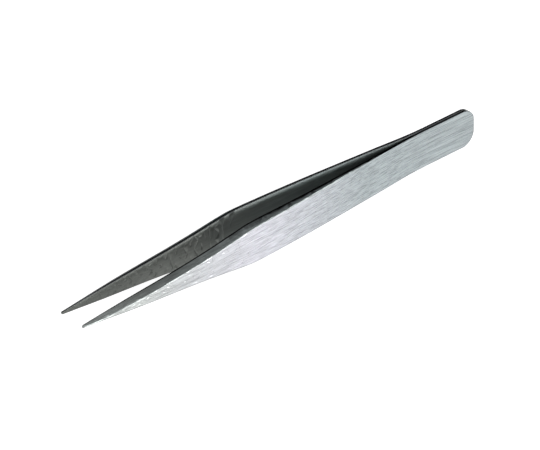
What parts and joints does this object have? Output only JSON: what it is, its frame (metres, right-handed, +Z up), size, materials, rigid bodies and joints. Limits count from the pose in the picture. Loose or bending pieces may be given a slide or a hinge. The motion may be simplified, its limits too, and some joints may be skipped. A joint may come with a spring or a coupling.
{
  "type": "fine-point tweezers",
  "caption": "Straight fine-point tweezers: bowed flat steel arms, wide bevelled bellies, slim tapered points, welded face to face at a round-cornered heel.",
  "frame": {"origin": "centre of the bounding box's base: halfway from the points to the heel, on the plane between the arms, at the lower edge of the bellies", "axes": "+X from the points to the heel, +Y across the gap from the front arm to the rear arm, +Z up the width of the blades"},
  "size_m": [0.13, 0.011, 0.0118],
  "materials": {
    "front_arm": "satin, brushed along the arm",
    "rear_arm": "satin, brushed along the arm"
  },
  "bodies": {
    "root": {"front_arm": "front_arm", "rear_arm": "rear_arm"}
  },
  "joints": []
}
